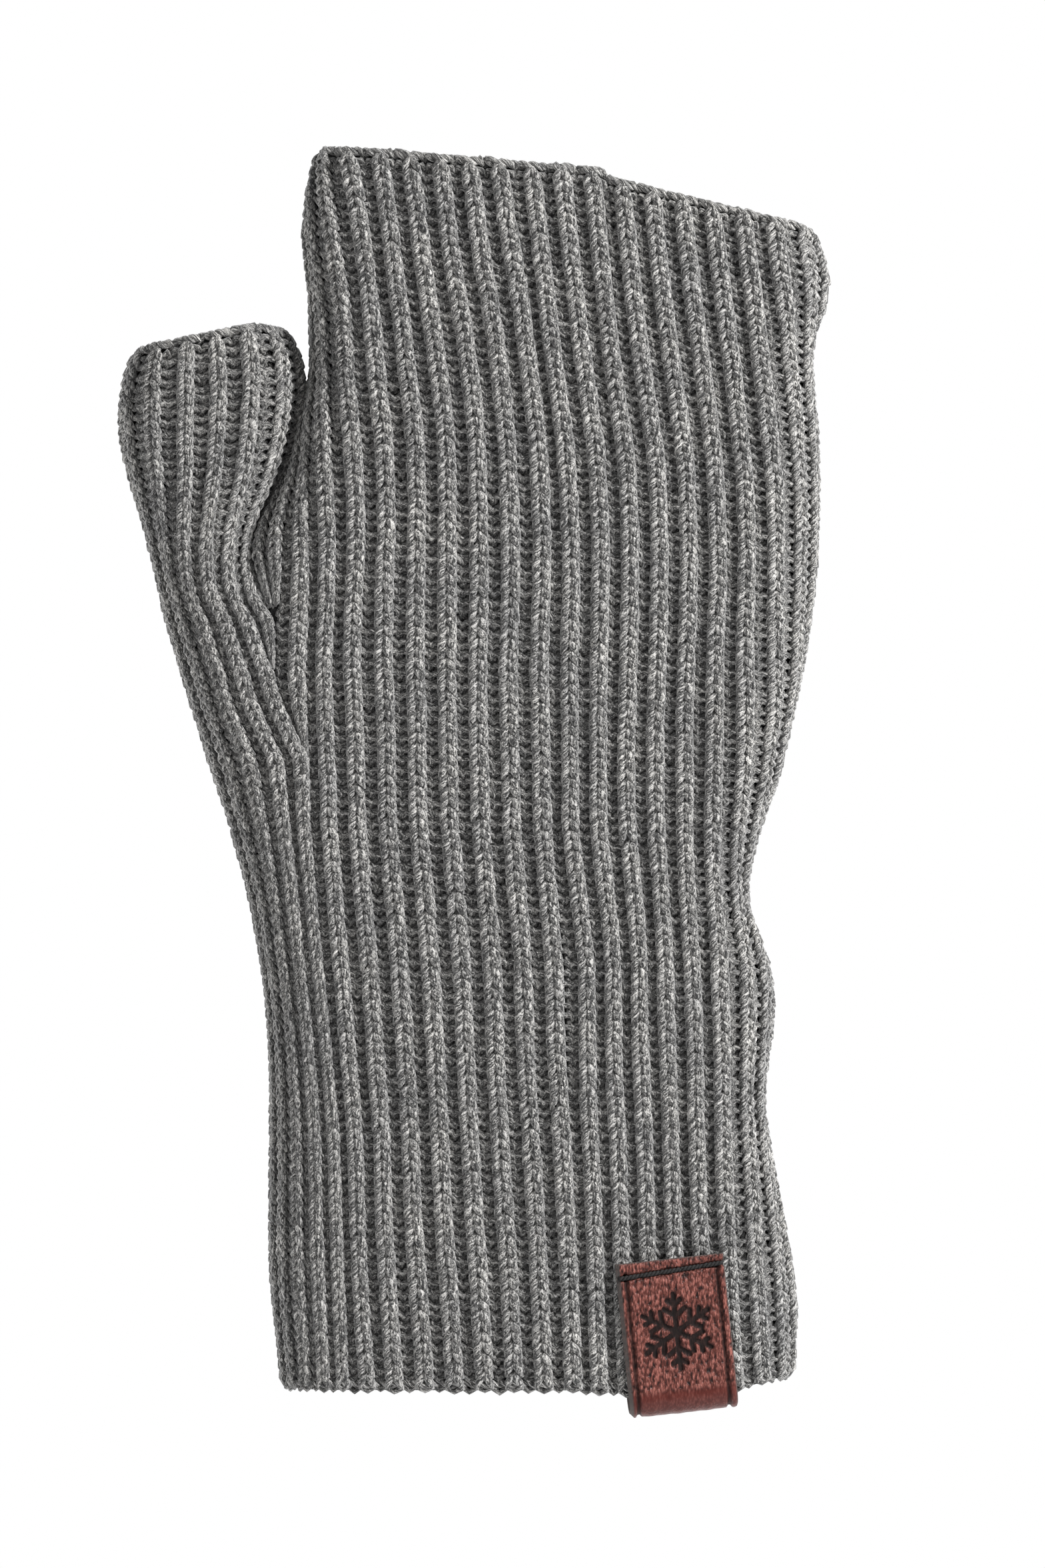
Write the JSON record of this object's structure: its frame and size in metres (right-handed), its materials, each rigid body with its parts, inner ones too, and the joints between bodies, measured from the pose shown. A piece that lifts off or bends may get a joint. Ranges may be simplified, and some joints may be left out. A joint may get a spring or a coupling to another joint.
{
  "type": "fingerless glove",
  "caption": "Fingerless rib-knit glove with a thumb stall and a long cuff, and a folded leather tag over its hem.",
  "frame": {"origin": "middle of the wrist opening, at the hem of the cuff", "axes": "+Z from the hem to the fingers, +X to the little-finger side (the thumb is on the -X side), -Y out of the face that carries the leather tag"},
  "size_m": [0.1224, 0.023, 0.2194],
  "materials": {
    "wool_rib": "heather grey wool blend, 1x1 rib, slightly fuzzy",
    "wool_edge": "heather grey wool blend, chained edge row",
    "tag_leather": "dark red-brown pebbled leather with a soft gloss",
    "tag_thread": "black bonded thread",
    "label_satin": "white woven satin, blank",
    "label_thread": "light grey thread"
  },
  "bodies": {
    "cuff": {"cuff_knit": "wool_rib", "cuff_edge": "wool_edge", "wrist_knit": "wool_rib", "tag_leather": "tag_leather", "tag_needle_thread": "tag_thread", "tag_bobbin_thread": "tag_thread", "care_label_thread": "label_thread"},
    "hand": {"hand_knit": "wool_rib", "finger_edge": "wool_edge", "crotch_stitches": "wool_edge"},
    "thumb": {"thumb_knit": "wool_rib", "thumb_edge": "wool_edge"},
    "label": {"care_label": "label_satin"}
  },
  "joints": [
    {"name": "wrist_bend", "type": "hinge", "parent": "cuff", "child": "hand", "pos_m": [0, 0, 0.084], "axis": [1, 0, 0], "range_deg": [-45, 45], "stiffness_Nm_per_rad": 0.2},
    {"name": "thumb_swing", "type": "hinge", "parent": "hand", "child": "thumb", "pos_m": [-0.0554, 0, 0.147], "axis": [0, -1, 0], "range_deg": [0, 40], "stiffness_Nm_per_rad": 0.02},
    {"name": "label_flap", "type": "hinge", "parent": "cuff", "child": "label", "pos_m": [0, 0.006, 0.0455], "axis": [-1, 0, 0], "range_deg": [-2, 30]}
  ]
}
